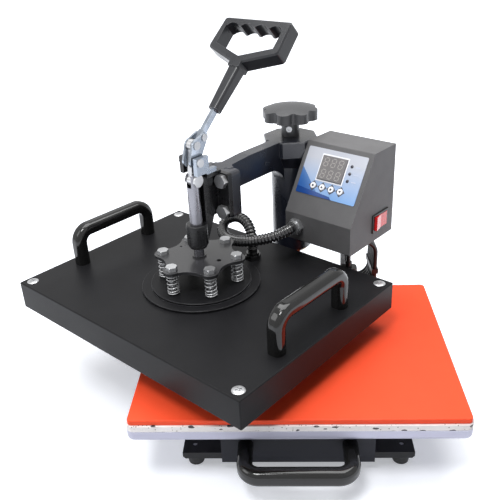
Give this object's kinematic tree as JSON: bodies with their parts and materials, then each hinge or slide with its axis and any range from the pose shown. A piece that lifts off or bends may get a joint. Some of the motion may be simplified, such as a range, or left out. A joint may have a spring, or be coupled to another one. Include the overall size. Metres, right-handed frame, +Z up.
{
  "type": "combo heat press",
  "caption": "Swing-away heat press: a sprung heated head with handles on a swinging arm, worked by a toggle lever, over a padded tray on a handled base, with a control box.",
  "frame": {"origin": "centre of the footprint's bounding box, on the table under the feet", "axes": "+X to the press's right, +Y away from the user, +Z up; the head is swung 38.7 degrees off the tray, as pictured"},
  "size_m": [0.557, 0.4748, 0.4726],
  "materials": {
    "silicone": "matte orange-red silicone",
    "foam": "speckled light foam",
    "tray": "satin",
    "black_steel": "satin black powder coat",
    "grey_plate": "satin",
    "rubber": "matte",
    "zinc": "zinc plated",
    "bronze": "oiled",
    "polished": "polished",
    "cast_arm": "satin black enamel",
    "clamp_black": "semi-gloss black",
    "black_plastic": "gloss",
    "knob_plastic": "grained",
    "grip_plastic": "satin",
    "lever_zinc": "bluish zinc",
    "heater": "cast, coated",
    "wool": "ceramic wool",
    "spring": "zinc plated",
    "box_paint": "satin dark grey",
    "label": "blue and white film",
    "display": "smoked grey",
    "board": "green board",
    "button": "white",
    "rocker": "red",
    "hose": "ribbed",
    "cord": "satin"
  },
  "bodies": {
    "base": {"base_beam": "black_steel", "front_plate": "grey_plate", "front_cross_bar": "black_steel", "rear_cross_bar": "black_steel", "rubber_feet": "rubber", "base_screws": "zinc", "base_bolts": "zinc", "base_handle": "black_plastic", "post_flange": "black_steel", "swing_post": "polished", "lower_platen": "tray", "foam_pad": "foam", "silicone_pad": "silicone"},
    "bushes": {"swing_bushes": "bronze"},
    "arm": {"swing_arm": "cast_arm", "clamp_body": "clamp_black", "clamp_bolts": "zinc", "lever_pins": "zinc", "control_box": "box_paint", "box_rear_cover": "box_paint", "box_screws": "zinc", "panel_label": "label", "display_window": "display", "control_board": "board", "rocker_bezel": "black_plastic", "box_hose_gland": "zinc", "heater_hose": "hose", "cord_relief": "rubber", "mains_cord_hank": "cord", "mains_plug": "cord", "cord_tie": "cord"},
    "knob": {"pressure_knob": "knob_plastic", "pressure_screw": "zinc", "knob_set_screw": "zinc"},
    "ram": {"plunger": "polished", "plunger_pin": "zinc", "spider_plate": "black_steel", "plunger_nut": "zinc", "return_springs": "spring"},
    "lever": {"lever_yoke": "lever_zinc", "lever_bar": "lever_zinc", "hand_grip": "grip_plastic", "yoke_rivets": "zinc"},
    "link": {"toggle_link": "zinc"},
    "head": {"heat_cover": "black_steel", "heating_plate": "heater", "insulation_pad": "wool", "corner_spacers": "zinc", "corner_screws": "zinc", "pressure_discs": "black_steel", "spring_bolts": "zinc", "handle_left": "black_plastic", "handle_right": "black_plastic", "handle_screws": "zinc", "head_hose_gland": "black_plastic"},
    "button_one": {"button_1": "button"},
    "button_two": {"button_2": "button"},
    "button_three": {"button_3": "button"},
    "button_four": {"button_4": "button"},
    "rocker": {"rocker_switch": "rocker"}
  },
  "joints": [
    {"name": "arm_lift", "type": "slide", "parent": "base", "child": "bushes", "axis": [0, 0, 1], "range_m": [0, 0.012]},
    {"name": "arm_swing", "type": "hinge", "parent": "bushes", "child": "arm", "pos_m": [0.08649, 0.14945, 0.215], "axis": [0, 0, 1], "range_deg": [-81.3, 38.7]},
    {"name": "knob_turn", "type": "hinge", "parent": "arm", "child": "knob", "pos_m": [0.08649, 0.14945, 0.338], "axis": [0, 0, 1], "range_deg": [0, 2160]},
    {"name": "press_slide", "type": "slide", "parent": "arm", "child": "ram", "axis": [0, 0, -1], "range_m": [0, 0.0285], "deforming": ["heater_hose"]},
    {"name": "lever_turn", "type": "hinge", "parent": "arm", "child": "lever", "pos_m": [-0.03325, 0, 0.33], "axis": [0.7804, -0.6252, 0], "range_deg": [0, 144]},
    {"name": "link_swing", "type": "hinge", "parent": "ram", "child": "link", "pos_m": [-0.03325, 0, 0.306], "axis": [0.7804, -0.6252, 0], "range_deg": [0, 25.9]},
    {"name": "head_float", "type": "slide", "parent": "ram", "child": "head", "axis": [0, 0, 1], "range_m": [0, 0.004], "stiffness_N_per_m": 30000, "springref_m": -0.006, "deforming": ["return_springs"]},
    {"name": "rocker_tilt", "type": "hinge", "parent": "arm", "child": "rocker", "pos_m": [0.20255, 0.07057, 0.2145], "axis": [0, 0, 1], "range_deg": [-12, 0]},
    {"name": "button_1_press", "type": "slide", "parent": "arm", "child": "button_one", "axis": [0.5314, 0.6633, -0.5269], "range_m": [0, 0.0015], "stiffness_N_per_m": 500, "springref_m": -0.0005},
    {"name": "button_2_press", "type": "slide", "parent": "arm", "child": "button_two", "axis": [0.5314, 0.6633, -0.5269], "range_m": [0, 0.0015], "stiffness_N_per_m": 500, "springref_m": -0.0005},
    {"name": "button_3_press", "type": "slide", "parent": "arm", "child": "button_three", "axis": [0.5314, 0.6633, -0.5269], "range_m": [0, 0.0015], "stiffness_N_per_m": 500, "springref_m": -0.0005},
    {"name": "button_4_press", "type": "slide", "parent": "arm", "child": "button_four", "axis": [0.5314, 0.6633, -0.5269], "range_m": [0, 0.0015], "stiffness_N_per_m": 500, "springref_m": -0.0005}
  ],
  "couplings": [
    {"joint": "knob_turn", "follows": "arm_lift", "rad_per_m": 3141.6},
    {"joint": "lever_turn", "follows": "press_slide", "rad_per_m": 88.185},
    {"joint": "link_swing", "follows": "press_slide", "rad_per_m": 15.861}
  ]
}
